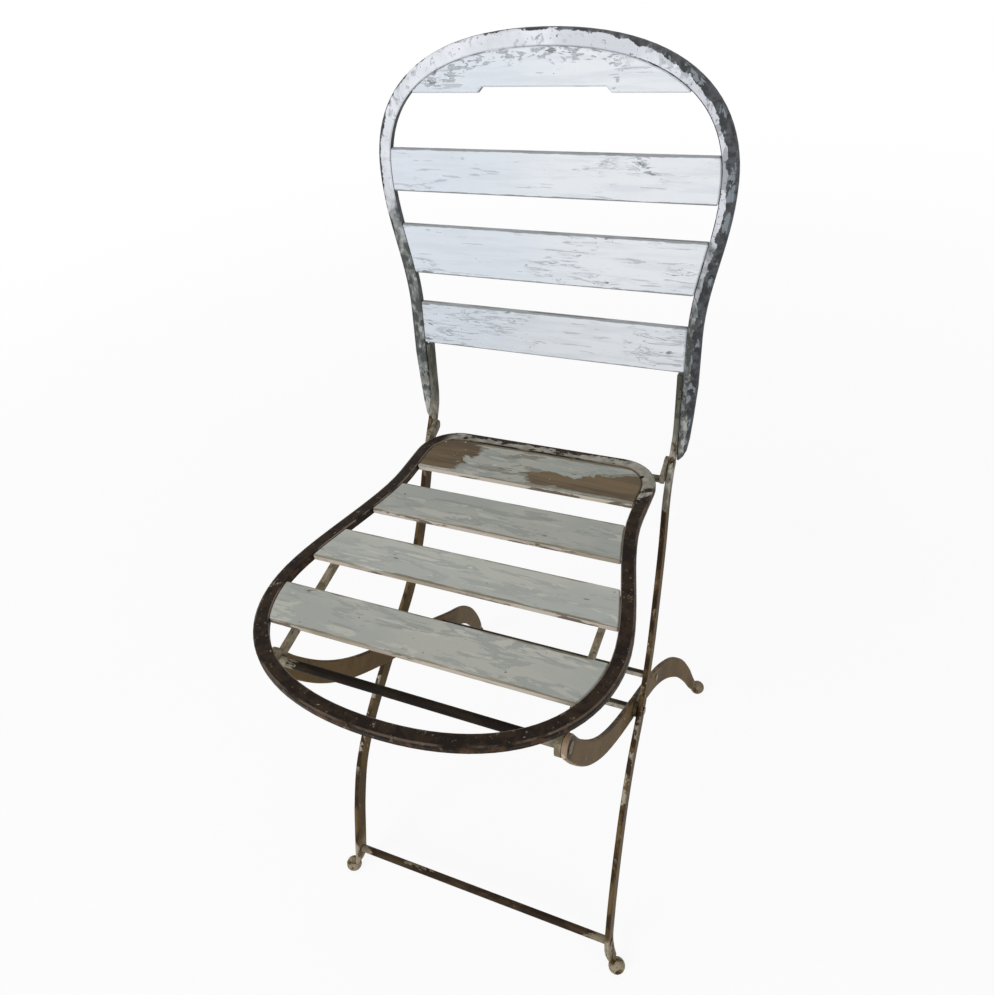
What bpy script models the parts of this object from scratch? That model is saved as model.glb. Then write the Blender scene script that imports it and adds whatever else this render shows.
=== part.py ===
"""A folding iron and wood garden chair, open, built from its separate pieces.

Frame: metres, +Z up, the chair faces -Y, origin under the middle of its box on the ground.
"""

from math import atan2, cos, pi, radians, sin

import bmesh
import bpy
from mathutils import Matrix, Vector

# Clearances
GAP = 0.0003
PIN_GAP = 0.0003
CUT_OVERRUN = 0.004

# Seat, measured along its pitched top face from the rear edge
SEAT_REAR_Y = 0.1510
SEAT_REAR_Z = 0.4625
SEAT_PITCH = radians(3.07)
SEAT_DEPTH = 0.399
SEAT_REAR_HALF_WIDTH = 0.1370
SEAT_CORNER_RADIUS = 0.044
SEAT_NECK_END = 0.085
SEAT_HALF_WIDTH = 0.1745
SEAT_WIDEST_AT = 0.268
SEAT_RIM_WIDTH = 0.014
SEAT_RIM_DEPTH = 0.008
SEAT_SLATS = ((0.017, 0.0712), (0.104, 0.153), (0.189, 0.234), (0.273, 0.320))

# Back, measured up its leaning front face from the height of the seat hinge
BACK_FOOT_Y = 0.1661
BACK_FOOT_Z = 0.470
BACK_LEAN = radians(10.5)
BACK_HEIGHT = 0.396
BACK_LOW_HALF_WIDTH = 0.161
BACK_TAIL_END = 0.075
BACK_LOW_END = 0.125
BACK_HALF_WIDTH = 0.181
BACK_WIDEST_AT = 0.272
BACK_RIM_WIDTH = 0.0145
BACK_RIM_DEPTH = 0.0075
BACK_SLATS = ((0.089, 0.136), (0.168, 0.219), (0.252, 0.2935))
CREST_DEPTH = 0.0525
CREST_LOW = BACK_HEIGHT - CREST_DEPTH
CREST_STEP = 0.005
CREST_STEP_HALF_WIDTH = 0.060
CREST_TIP = 0.0015

# The back hoop's lower ends thin out along the front legs: (place, width)
BACK_TAIL = ((-0.0100, 0.0028), (-0.0065, 0.0060), (0.0000, 0.0088), (0.0150, 0.0112), (0.0400, 0.0132))

# The rounding between a rim's face and its outer side: (part of half width, part of depth)
BACK_SHOULDER = ((0.30, 0.0), (0.72, 0.15), (0.93, 0.40), (1.0, 0.70))
SEAT_SHOULDER = ((0.68, 0.0), (0.92, 0.10), (1.0, 0.34))
RIM_EDGE = 0.0010

# Fullness of the round ends of both hoops at their sides and at their middle
SEAT_ROUND = (0.62, 0.62)
BACK_ROUND = (0.565, 0.722)
ELLIPSE_FULLNESS = 0.552
WAIST_HANDLE = 0.055

# Wood
SLAT_THICKNESS = 0.0072
SLAT_INSET = 0.0004
SLAT_EDGE = 0.0012

# Iron tabs that hold the slats to the hoops
TAB_LENGTH = 0.024
TAB_WIDTH = 0.016
TAB_THICKNESS = 0.0025
CREST_TAB_HALF_SPACING = 0.070
CREST_TAB_DROP = 0.003

# Where along each seat slat's depth its tabs sit
SEAT_TAB_PLACES = (0.78, 0.50, 0.20, 0.50)

# Pivots, as (y, z)
HINGE = (0.156, 0.4615)
CROSSING = (-0.012, 0.252)
FRONT_ROD = (-0.186, 0.4425)
HOOK_ROOT = (-0.064, 0.4600)
REAR_ROD = (0.081, 0.1862)
FOOT_ROD = (-0.1765, 0.040)

# Front legs: centre line as (half spread, y, z, width), from behind the back down to the foot
FRONT_LEG_LINE = (
    (0.1425, 0.1877, 0.5535, 0.0120),
    (0.1425, 0.1810, 0.5180, 0.0120),
    (0.1425, 0.1745, 0.4890, 0.0130),
    (0.1425, 0.1630, 0.4700, 0.0155),
    (0.1430, 0.1350, 0.4320, 0.0175),
    (0.1455, 0.1070, 0.3800, 0.0180),
    (0.1485, 0.0665, 0.3200, 0.0185),
    (0.1510, 0.0365, 0.2870, 0.0190),
    (0.1545, -0.0120, 0.2520, 0.0200),
    (0.1560, -0.0540, 0.2230, 0.0195),
    (0.1580, -0.0900, 0.1930, 0.0190),
    (0.1600, -0.1230, 0.1540, 0.0190),
    (0.1608, -0.1480, 0.1080, 0.0190),
    (0.1612, -0.1640, 0.0700, 0.0190),
    (0.1618, -0.1755, 0.0400, 0.0190),
    (0.1635, -0.1795, 0.0240, 0.0180),
    (0.1675, -0.1825, 0.0125, 0.0140),
)
FRONT_LEG_THICKNESS = 0.0055
FRONT_BALL = (0.1735, -0.1870)

# Rear legs: centre line as (half spread, y, z, width), from the top end down to the foot
REAR_LEG_LINE = (
    (0.1445, -0.1860, 0.4425, 0.0215),
    (0.1445, -0.1705, 0.4100, 0.0220),
    (0.1445, -0.1415, 0.3645, 0.0235),
    (0.1445, -0.1075, 0.3255, 0.0245),
    (0.1445, -0.0655, 0.2895, 0.0250),
    (0.1445, -0.0120, 0.2510, 0.0260),
    (0.1445, 0.0450, 0.2110, 0.0260),
    (0.1448, 0.0930, 0.1740, 0.0260),
    (0.1495, 0.1325, 0.1405, 0.0265),
    (0.1560, 0.1635, 0.1030, 0.0245),
    (0.1615, 0.1860, 0.0620, 0.0210),
    (0.1655, 0.1985, 0.0300, 0.0165),
    (0.1695, 0.2040, 0.0140, 0.0125),
)
REAR_LEG_THICKNESS = 0.005
REAR_BALL = (0.1740, 0.2080)

BALL_RADIUS = 0.0095
BALL_CENTRE_Z = 0.0078
LINE_STEPS = 5
LEG_FLARE = 0.0007

# Rods and rivets
ROD_RADIUS = 0.0045
TENON_RADIUS = 0.0032
AXLE_RADIUS = 0.0036
HEAD_RADIUS = 0.0046
FRONT_HEAD_RADIUS = 0.0055
HEAD_HEIGHT = 0.0008
HEAD_CROWN = 0.65
HINGE_PIN_RADIUS = 0.0030
HINGE_HEAD_RADIUS = 0.0048
HOOK_PIN_RADIUS = 0.0022
HOOK_HEAD_RADIUS = 0.0032
WASHER_RADIUS = 0.0085

# Seat hinge arms
ARM_THICKNESS = 0.004
ARM_WIDTH = 0.0075
ARM_INNER_X = 0.096
ARM_FROM_REAR = 0.0085
LUG_RADIUS = 0.007
LUG_RISE = 0.0030

# Hooks under the seat that rest on the front rod, and their brackets
HOOK_THICKNESS = 0.0047
HOOK_WIDTH = 0.009
HOOK_INNER_X = 0.1365
HOOK_EYE_RADIUS = 0.0103
HOOK_EYE_PROUD = 0.0003
HOOK_MOUTH_HALF = 0.0058
HOOK_MOUTH_SLOPE = radians(51)
BRACKET_THICKNESS = 0.0032
BRACKET_PLATE = 0.0016
BRACKET_LENGTH = 0.016
BRACKET_WIDTH = 0.0108
BRACKET_EAR_RADIUS = 0.0050
EAR_DROP = 0.0006


def clear_scene():
    for obj in list(bpy.data.objects):
        bpy.data.objects.remove(obj, do_unlink=True)


def new_collection(name, hidden=False):
    collection = bpy.data.collections.new(name)
    bpy.context.scene.collection.children.link(collection)
    collection.hide_render = hidden
    return collection


def material(name, colour, roughness, metallic=0.0):
    made = bpy.data.materials.get(name)
    if made:
        return made
    made = bpy.data.materials.new(name)
    made.use_nodes = True
    shader = made.node_tree.nodes["Principled BSDF"]
    shader.inputs["Base Color"].default_value = (*colour, 1.0)
    shader.inputs["Roughness"].default_value = roughness
    shader.inputs["Metallic"].default_value = metallic
    return made


def back_paint():
    return material("flaking_pale_blue_paint", (0.66, 0.70, 0.73), 0.65)


def seat_paint():
    return material("flaking_grey_paint", (0.36, 0.37, 0.34), 0.7)


def rusted_iron():
    return material("dark_rusted_iron", (0.030, 0.022, 0.016), 0.6, 0.3)


def worn_iron():
    return material("worn_brown_iron", (0.12, 0.085, 0.055), 0.6, 0.3)


def finish(obj, look, sharp=35):
    obj.data.materials.clear()
    obj.data.materials.append(look)
    if obj.type == "MESH":
        obj.data.shade_smooth()
        obj.data.set_sharp_from_angle(angle=radians(sharp))
    return obj


def link(name, mesh, collection, matrix=None):
    obj = bpy.data.objects.new(name, mesh)
    collection.objects.link(obj)
    if matrix is not None:
        obj.matrix_world = matrix
    if collection.hide_render:
        obj.hide_render = True
        obj.display_type = "WIRE"
    return obj


def mesh_from(name, build):
    """A mesh from a function that fills a bmesh."""
    mesh = bpy.data.meshes.new(name)
    bm = bmesh.new()
    build(bm)
    bmesh.ops.recalc_face_normals(bm, faces=bm.faces)
    bm.to_mesh(mesh)
    bm.free()
    return mesh


def box(name, low, high, collection, matrix=None, bevel=0.0):
    """A box between two corners, with its edges rounded where bevel is given."""
    low, high = Vector(low), Vector(high)

    def build(bm):
        bmesh.ops.create_cube(bm, size=1.0)
        bmesh.ops.scale(bm, vec=high - low, verts=bm.verts)
        bmesh.ops.translate(bm, vec=(low + high) / 2, verts=bm.verts)

    obj = link(name, mesh_from(name, build), collection, matrix)
    if bevel:
        rounded = obj.modifiers.new("edges", "BEVEL")
        rounded.width = bevel
        rounded.segments = 1
    return obj


def cylinder_x(name, centre, radius, x_low, x_high, collection, sides=24):
    """A cylinder along X, centred on (y, z)."""

    def build(bm):
        bmesh.ops.create_cone(
            bm, cap_ends=True, segments=sides, radius1=radius, radius2=radius, depth=x_high - x_low
        )

    place = Matrix.Translation(((x_low + x_high) / 2, *centre)) @ Matrix.Rotation(pi / 2, 4, "Y")
    return link(name, mesh_from(name, build), collection, place)


def turned_x(name, profile, centre, side, collection, steps=20, ring=False):
    """A solid turned about X through (y, z): profile lists (radius, distance along X from the middle)."""
    points = [Vector((radius, 0.0, along)) for radius, along in profile]
    edges = [(i, i + 1) for i in range(len(points) - 1)]
    if ring:
        edges.append((len(points) - 1, 0))
    mesh = bpy.data.meshes.new(name)
    mesh.from_pydata(points, edges, [])
    obj = link(name, mesh, collection)
    obj.matrix_world = Matrix.Translation((0.0, *centre)) @ Matrix.Rotation(side * pi / 2, 4, "Y")
    screw = obj.modifiers.new("turn", "SCREW")
    screw.steps = steps
    screw.render_steps = steps
    screw.use_merge_vertices = True
    screw.merge_threshold = 0.00001
    return obj


def add_boolean(obj, other, operation):
    change = obj.modifiers.new(operation.lower(), "BOOLEAN")
    change.operation = operation
    change.object = other
    return change


def bezier(start, handle_a, handle_b, end, steps):
    """Points of one cubic stretch, its end left out."""
    points = []
    for i in range(steps):
        t = i / steps
        u = 1 - t
        near = u**3 * Vector(start) + 3 * u * u * t * Vector(handle_a)
        far = 3 * u * t * t * Vector(handle_b) + t**3 * Vector(end)
        points.append(near + far)
    return points


def waist(low_half, low_at, wide_half, wide_at, steps):
    """The S curve of a hoop's side, from its narrow stretch to its widest place."""
    return bezier(
        (low_half, low_at),
        (low_half, low_at + WAIST_HANDLE),
        (wide_half, wide_at - WAIST_HANDLE),
        (wide_half, wide_at),
        steps,
    )


def round_end(half, start, end, fullness, steps):
    """The quarter that closes a hoop, from its widest place to its middle."""
    at_side, at_middle = fullness
    return bezier(
        (half, start),
        (half, start + at_side * (end - start)),
        (at_middle * half, end),
        (0.0, end),
        steps,
    )


def seat_half_outline():
    """The right half of the seat hoop's outer edge, from the rear's middle to the front's."""
    radius, half = SEAT_CORNER_RADIUS, SEAT_REAR_HALF_WIDTH
    handle = radius * (1 - ELLIPSE_FULLNESS)
    points = [Vector((0.0, 0.0)), Vector(((half - radius) / 2, 0.0))]
    points += bezier((half - radius, 0.0), (half - handle, 0.0), (half, handle), (half, radius), 11)
    points += [Vector((half, radius)), Vector((half, (radius + SEAT_NECK_END) / 2))]
    points += waist(half, SEAT_NECK_END, SEAT_HALF_WIDTH, SEAT_WIDEST_AT, 13)
    points += round_end(SEAT_HALF_WIDTH, SEAT_WIDEST_AT, SEAT_DEPTH, SEAT_ROUND, 24)
    return points + [Vector((0.0, SEAT_DEPTH))]


def back_half_outline():
    """The right half of the back hoop's outer edge, from above its thinned end to the top's middle."""
    points = [Vector((BACK_LOW_HALF_WIDTH, BACK_TAIL_END))]
    points += waist(BACK_LOW_HALF_WIDTH, BACK_LOW_END, BACK_HALF_WIDTH, BACK_WIDEST_AT, 14)
    points += round_end(BACK_HALF_WIDTH, BACK_WIDEST_AT, BACK_HEIGHT, BACK_ROUND, 25)
    return points + [Vector((0.0, BACK_HEIGHT))]


def inset(points, distance, ends_on_axis):
    """The half outline moved inwards by a distance."""
    moved = []
    for i, point in enumerate(points):
        before = points[max(i - 1, 0)]
        after = points[min(i + 1, len(points) - 1)]
        along = (after - before).normalized()
        moved.append(point + distance * Vector((-along.y, along.x)))
    for i in ends_on_axis:
        across = 1 if i == 0 else -1
        moved[i] = Vector((0.0, points[i].y + across * distance))
    return moved


def half_width_at(points, along):
    """How wide the half outline is at a place along it."""
    for a, b in zip(points, points[1:]):
        low, high = sorted((a.y, b.y))
        if high > low and low <= along <= high and a.x > 0.04:
            return a.x + (b.x - a.x) * (along - a.y) / (b.y - a.y)
    return max(point.x for point in points)


def rim_ring(inner, outer, depth, shoulder):
    """A flat bar's section between two points of its edges, rounded towards its outer side."""
    out = outer - inner
    edge = RIM_EDGE
    half = out.length / 2
    points = [(-half, -edge), (-half + edge, 0.0)]
    points += [(half * across, -depth * down) for across, down in shoulder]
    points += [(half, edge - depth), (half - edge, -depth), (-half, -depth)]
    middle = (inner + outer) / 2
    out.normalize()
    return [Vector((middle.x + out.x * o, middle.y + out.y * o, d)) for o, d in points]


def loft(name, rings, closed, collection, matrix=None):
    """A solid through a row of rings with the same number of corners."""

    def build(bm):
        rows = [[bm.verts.new(point) for point in ring] for ring in rings]
        count = len(rows[0])
        pairs = list(zip(rows, rows[1:]))
        if closed:
            pairs.append((rows[-1], rows[0]))
        else:
            bm.faces.new(rows[0])
            bm.faces.new(rows[-1])
        for first, second in pairs:
            for i in range(count):
                j = (i + 1) % count
                bm.faces.new((first[i], first[j], second[j], second[i]))

    return link(name, mesh_from(name, build), collection, matrix)


def mirrored(rows, ends_on_axis):
    """Half of a hoop's (inner, outer) pairs, followed by the same pairs on the other side."""
    other = rows[:-1] if ends_on_axis == 1 else rows[1:-1]
    flip = [tuple(Vector((-point.x, point.y)) for point in row) for row in reversed(other)]
    return rows + flip


def seat_matrix():
    """Local X is -X, local Y runs forward from the seat's rear edge, local Z up from its top face."""
    forward = Vector((0.0, -cos(SEAT_PITCH), sin(SEAT_PITCH)))
    up = Vector((0.0, sin(SEAT_PITCH), cos(SEAT_PITCH)))
    across = forward.cross(up)
    turned = Matrix((across, forward, up)).transposed().to_4x4()
    return Matrix.Translation((0.0, SEAT_REAR_Y, SEAT_REAR_Z)) @ turned


def back_matrix():
    """Local X is X, local Y runs up the back from hinge height, local Z forward from its front face."""
    up = Vector((0.0, sin(BACK_LEAN), cos(BACK_LEAN)))
    forward = Vector((0.0, -cos(BACK_LEAN), sin(BACK_LEAN)))
    across = up.cross(forward)
    turned = Matrix((across, up, forward)).transposed().to_4x4()
    return Matrix.Translation((0.0, BACK_FOOT_Y, BACK_FOOT_Z)) @ turned


def plank(name, outline, matrix, collection, look):
    """A flat board with a given outline, its face a little under the hoop's."""
    curve = bpy.data.curves.new(name, "CURVE")
    curve.dimensions = "2D"
    curve.fill_mode = "BOTH"
    curve.extrude = SLAT_THICKNESS / 2
    spline = curve.splines.new("POLY")
    spline.points.add(len(outline) - 1)
    for point, (x, y) in zip(spline.points, outline):
        point.co = (x, y, 0.0, 1.0)
    spline.use_cyclic_u = True
    flat = bpy.data.objects.new(name + "_outline", curve)
    collection.objects.link(flat)
    bpy.context.view_layer.update()
    graph = bpy.context.evaluated_depsgraph_get()
    mesh = bpy.data.meshes.new_from_object(flat.evaluated_get(graph))
    bpy.data.objects.remove(flat, do_unlink=True)
    bm = bmesh.new()
    bm.from_mesh(mesh)
    bmesh.ops.remove_doubles(bm, verts=bm.verts, dist=0.00001)
    bmesh.ops.dissolve_limit(bm, angle_limit=radians(1), verts=bm.verts, edges=bm.edges)
    bmesh.ops.recalc_face_normals(bm, faces=bm.faces)
    bm.to_mesh(mesh)
    bm.free()
    down = Matrix.Translation((0.0, 0.0, -SLAT_INSET - SLAT_THICKNESS / 2))
    obj = link(name, mesh, collection, matrix @ down)
    edges = obj.modifiers.new("edges", "BEVEL")
    edges.width = SLAT_EDGE
    edges.segments = 1
    edges.limit_method = "ANGLE"
    edges.angle_limit = radians(50)
    return finish(obj, look)


def slat_outline(low, high, inner):
    """A slat across a hoop, its ends cut along the hoop's inner edge."""
    between = [point.y for point in inner if point.x > 0.04 and low + 0.002 < point.y < high - 0.002]
    right = [(half_width_at(inner, at) - GAP, at) for at in (low, *between, high)]
    left = [(-x, at) for x, at in reversed(right)]
    return right + left


def rounded_slat_outline(inner, end_at):
    """The slat that fills a hoop's closed end, up to a straight edge."""
    clear = inset(inner, GAP, (0,))
    right = [(p.x, p.y) for p in clear if p.y < end_at - 0.002 and p.x > 0]
    right.append((half_width_at(inner, end_at) - GAP, end_at))
    return right + [(-x, y) for x, y in reversed(right)]


def crest_outline(inner):
    """The crest slat: the hoop's inner curve above, a stepped straight edge below."""
    clear = inset(inner, GAP, (len(inner) - 1,))
    tip = half_width_at(clear, CREST_LOW + CREST_TIP)
    top = [(p.x, p.y) for p in clear if p.y > CREST_LOW + 0.003 and p.x < tip - 0.001]
    step = CREST_STEP
    low = [(tip, CREST_LOW + CREST_TIP), (tip - CREST_TIP, CREST_LOW)]
    low.append((CREST_STEP_HALF_WIDTH + step, CREST_LOW))
    low += [(CREST_STEP_HALF_WIDTH, CREST_LOW + step)]
    right = list(reversed(low)) + top
    middle = right.pop()
    return right + [middle] + [(-x, y) for x, y in reversed(right)]


def tab(name, centre, along, rim_depth, matrix, collection):
    """A small flat iron under a slat's end and the hoop beside it, pointing at an angle."""
    place = matrix @ Matrix.Translation((*centre, 0.0)) @ Matrix.Rotation(along, 4, "Z")
    top = -max(rim_depth, SLAT_INSET + SLAT_THICKNESS) - GAP
    low = (-TAB_LENGTH / 2, -TAB_WIDTH / 2, top - TAB_THICKNESS)
    high = (TAB_LENGTH / 2, TAB_WIDTH / 2, top)
    return finish(box(name, low, high, collection, place, 0.0006), worn_iron())


def smooth_line(points, steps):
    """A smooth curve through the points, each a tuple of numbers."""
    points = [Vector(point) for point in points]
    rows = [2 * points[0] - points[1]] + points + [2 * points[-1] - points[-2]]
    line = []
    for i in range(1, len(rows) - 2):
        a, b, c, d = rows[i - 1 : i + 3]
        for k in range(steps):
            t = k / steps
            bend = (2 * a - 5 * b + 4 * c - d) * t * t
            twist = (3 * b - a - 3 * c + d) * t**3
            line.append(0.5 * (2 * b + (c - a) * t + bend + twist))
    return line + [points[-1]]


def bar_rings(line, side, thickness, edge):
    """Rings of a flat bar whose faces look sideways. The line gives (spread, y, z, width)."""
    rings = []
    for i, (x, y, z, width) in enumerate(line):
        before, after = line[max(i - 1, 0)], line[min(i + 1, len(line) - 1)]
        along = Vector((after[1] - before[1], after[2] - before[2])).normalized()
        across = Vector((-along.y, along.x))
        half, thick = width / 2, thickness / 2
        corners = [(half - edge, thick), (half, thick - edge), (half, edge - thick), (half - edge, -thick)]
        corners += [(-o, t) for o, t in reversed(corners)]
        rings.append(
            [Vector((side * (x + t), y + across.x * o, z + across.y * o)) for o, t in corners]
        )
    return rings


def round_top(line, steps=4):
    """The half-round end before a bar's first point, as more points of its line."""
    x, y, z, width = line[0]
    back = (Vector((y, z)) - Vector((line[1][1], line[1][2]))).normalized()
    added = []
    for i in range(steps):
        turn = (pi / 2) * (i + 0.35) / (steps + 0.35)
        reach = width / 2 * cos(turn)
        added.append((x, y + back.x * reach, z + back.y * reach, width * sin(turn)))
    return added + line


def leg(name, line, side, thickness, ball, collection, cutters):
    """A flat bar leg with a forged ball foot that is flat underneath."""
    obj = loft(name, bar_rings(line, side, thickness, 0.0012), False, collection)

    def sphere(bm):
        bmesh.ops.create_uvsphere(bm, u_segments=16, v_segments=10, radius=BALL_RADIUS)

    foot = link(name + "_ball", mesh_from(name + "_ball", sphere), cutters)
    foot.matrix_world = Matrix.Translation((side * ball[0], ball[1], BALL_CENTRE_Z))
    add_boolean(obj, foot, "UNION")
    ground = box(name + "_ground", (-0.03, -0.03, -0.02), (0.03, 0.03, 0.0), cutters)
    ground.matrix_world = Matrix.Translation((side * ball[0], ball[1], 0.0))
    add_boolean(obj, ground, "DIFFERENCE")
    return finish(obj, worn_iron(), 40)


def drill(obj, centre, radius, x_middle, cutters):
    """A hole through a piece along X."""
    reach = REAR_LEG_THICKNESS + 2 * CUT_OVERRUN
    low, high = sorted((x_middle - reach, x_middle + reach))
    hole = cylinder_x(f"{obj.name}_hole_{len(obj.modifiers)}", centre, radius, low, high, cutters, 20)
    add_boolean(obj, hole, "DIFFERENCE")


def rod_profile(shoulder, tenon_radius, outer_face, head_radius):
    """A rod from its middle outwards: rod, shoulder, tenon through the leg, riveted head."""
    seat = outer_face + GAP
    return [
        (0.0, seat + HEAD_HEIGHT),
        (head_radius * HEAD_CROWN, seat + HEAD_HEIGHT),
        (head_radius, seat + HEAD_HEIGHT / 2),
        (head_radius, seat),
        (tenon_radius, seat),
        (tenon_radius, shoulder),
        (ROD_RADIUS, shoulder),
    ]


def cross_rod(name, centre, shoulder, tenon_radius, outer_face, collection, head_radius=HEAD_RADIUS):
    """A round rod across the chair with a riveted tenon at both ends."""
    right = rod_profile(shoulder, tenon_radius, outer_face, head_radius)
    left = [(radius, -along) for radius, along in reversed(right)]
    obj = turned_x(name, right + left, centre, 1, collection)
    return finish(obj, worn_iron(), 30)


def rivet(name, centre, side, inner, outer, pin_radius, head_radius, collection):
    """A rivet along X with a low head on both faces of what it holds."""
    near, far = inner - GAP, outer + GAP
    profile = [
        (0.0, far + HEAD_HEIGHT),
        (head_radius * HEAD_CROWN, far + HEAD_HEIGHT),
        (head_radius, far + HEAD_HEIGHT / 2),
        (head_radius, far),
        (pin_radius, far),
        (pin_radius, near),
        (head_radius, near),
        (head_radius, near - HEAD_HEIGHT / 2),
        (head_radius * HEAD_CROWN, near - HEAD_HEIGHT),
        (0.0, near - HEAD_HEIGHT),
    ]
    obj = turned_x(name, profile, centre, side, collection, 16)
    return finish(obj, worn_iron(), 30)


def washer(name, centre, side, bore, inner, outer, collection):
    """A flat ring along X between two bars."""
    profile = [(bore, outer), (WASHER_RADIUS, outer), (WASHER_RADIUS, inner), (bore, inner)]
    obj = turned_x(name, profile, centre, side, collection, 20, ring=True)
    return finish(obj, worn_iron(), 30)


def sides():
    return (("left", -1), ("right", 1))


def build_back(parts):
    matrix = back_matrix()
    outline = back_half_outline()
    inner = inset(outline, BACK_RIM_WIDTH, (len(outline) - 1,))
    beside_leg = FRONT_LEG_LINE[0][0] + FRONT_LEG_THICKNESS / 2 + GAP
    tail = [(Vector((beside_leg, at)), Vector((beside_leg + width, at))) for at, width in BACK_TAIL]
    rows = mirrored(tail + list(zip(inner, outline)), 1)
    rings = [rim_ring(*row, BACK_RIM_DEPTH, BACK_SHOULDER) for row in rows]
    finish(loft("back_hoop", rings, False, parts, matrix), back_paint(), 50)

    for word, (low, high) in zip(("lower", "middle", "upper"), BACK_SLATS):
        plank(f"back_slat_{word}", slat_outline(low, high, inner), matrix, parts, back_paint())
        for tab_word, side in sides():
            edge = (side * half_width_at(inner, (low + high) / 2), (low + high) / 2)
            tab(f"back_tab_{word}_{tab_word}", edge, 0.0, BACK_RIM_DEPTH, matrix, parts)
    plank("crest_slat", crest_outline(inner), matrix, parts, back_paint())
    for word, side in sides():
        x = CREST_TAB_HALF_SPACING
        ring = min(inner, key=lambda p: abs(p.x - x) + (p.y < BACK_WIDEST_AT))
        place = (side * ring.x, ring.y - CREST_TAB_DROP)
        tab(f"crest_tab_{word}", place, pi / 2, BACK_RIM_DEPTH, matrix, parts)


def build_front_legs(parts, cutters):
    face = FRONT_LEG_THICKNESS / 2
    line = [tuple(point) for point in smooth_line(FRONT_LEG_LINE, LINE_STEPS)]
    hinge_x = spread_at(FRONT_LEG_LINE, HINGE)
    inner = hinge_x - face - GAP - ARM_THICKNESS
    for word, side in sides():
        obj = leg(f"front_leg_{word}", line, side, FRONT_LEG_THICKNESS, FRONT_BALL, parts, cutters)
        for centre, radius in (
            (HINGE, HINGE_PIN_RADIUS),
            (CROSSING, AXLE_RADIUS),
            (FOOT_ROD, TENON_RADIUS),
        ):
            drill(obj, centre, radius + PIN_GAP, side * spread_at(FRONT_LEG_LINE, centre), cutters)
        rivet(
            f"seat_hinge_rivet_{word}", HINGE, side, inner, hinge_x + face,
            HINGE_PIN_RADIUS, HINGE_HEAD_RADIUS, parts,
        )
    spread = spread_at(FRONT_LEG_LINE, FOOT_ROD)
    shoulder, outer = spread - face - 2 * LEG_FLARE, spread + face + LEG_FLARE
    cross_rod("front_foot_rod", FOOT_ROD, shoulder, TENON_RADIUS, outer, parts)


def spread_at(line, centre):
    """Half the distance between a pair of legs at a pivot."""
    near = min(line, key=lambda p: (p[1] - centre[0]) ** 2 + (p[2] - centre[1]) ** 2)
    return near[0]


def build_rear_legs(parts, cutters):
    line = [tuple(point) for point in smooth_line(REAR_LEG_LINE, LINE_STEPS)]
    face = REAR_LEG_THICKNESS / 2
    leg_x = REAR_LEG_LINE[0][0]
    front_x = spread_at(FRONT_LEG_LINE, CROSSING)
    front_inner = front_x - FRONT_LEG_THICKNESS / 2
    for word, side in sides():
        top = round_top(line)
        obj = leg(f"rear_leg_{word}", top, side, REAR_LEG_THICKNESS, REAR_BALL, parts, cutters)
        for centre, radius in (
            (FRONT_ROD, TENON_RADIUS),
            (CROSSING, AXLE_RADIUS),
            (REAR_ROD, TENON_RADIUS),
        ):
            drill(obj, centre, radius + PIN_GAP, side * leg_x, cutters)
        washer(
            f"pivot_washer_{word}", CROSSING, side, AXLE_RADIUS + PIN_GAP,
            leg_x + face + GAP, front_inner - LEG_FLARE, parts,
        )
    shoulder = leg_x - face - GAP
    cross_rod("front_rod", FRONT_ROD, shoulder, TENON_RADIUS, leg_x + face, parts, FRONT_HEAD_RADIUS)
    cross_rod("pivot_axle", CROSSING, shoulder, AXLE_RADIUS, 2 * front_x - front_inner + LEG_FLARE, parts)
    cross_rod("rear_stretcher_rod", REAR_ROD, shoulder, TENON_RADIUS, leg_x + face, parts)


def build_seat(parts):
    matrix = seat_matrix()
    outline = seat_half_outline()
    inner = inset(outline, SEAT_RIM_WIDTH, (0, len(outline) - 1))
    rows = mirrored(list(zip(inner, outline)), 2)
    rings = [rim_ring(*row, SEAT_RIM_DEPTH, SEAT_SHOULDER) for row in rows]
    finish(loft("seat_hoop", rings, True, parts, matrix), rusted_iron(), 50)

    for number, (low, high) in enumerate(SEAT_SLATS, 1):
        shape = rounded_slat_outline(inner, high) if number == 1 else slat_outline(low, high, inner)
        plank(f"seat_slat_{number}", shape, matrix, parts, seat_paint())
        for word, side in sides():
            at = low + SEAT_TAB_PLACES[number - 1] * (high - low)
            edge = (-side * half_width_at(inner, at), at)
            tab(f"seat_tab_{number}_{word}", edge, 0.0, SEAT_RIM_DEPTH, matrix, parts)


def build_hinge_arms(parts, cutters):
    """Flat irons under the seat's rear corners that turn up into lugs beside the front legs."""
    matrix = seat_matrix()
    outer_x = spread_at(FRONT_LEG_LINE, HINGE) - FRONT_LEG_THICKNESS / 2 - GAP
    top = -SEAT_RIM_DEPTH - GAP
    for word, side in sides():
        low_x, high_x = sorted((-side * ARM_INNER_X, -side * outer_x))
        low = (low_x, ARM_FROM_REAR, top - ARM_THICKNESS)
        high = (high_x, ARM_FROM_REAR + ARM_WIDTH, top)
        obj = box(f"seat_hinge_arm_{word}", low, high, parts, matrix)
        elbow = matrix @ Vector((0.0, ARM_FROM_REAR + ARM_WIDTH / 2, top - ARM_THICKNESS / 2))
        lug = stadium(
            f"lug_{word}", (elbow.y, elbow.z + LUG_RISE), HINGE, 2 * LUG_RADIUS,
            side * (outer_x - ARM_THICKNESS), side * outer_x, cutters,
        )
        add_boolean(obj, lug, "UNION")
        drill(obj, HINGE, HINGE_PIN_RADIUS + PIN_GAP, side * outer_x, cutters)
        finish(obj, worn_iron(), 40)


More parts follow.
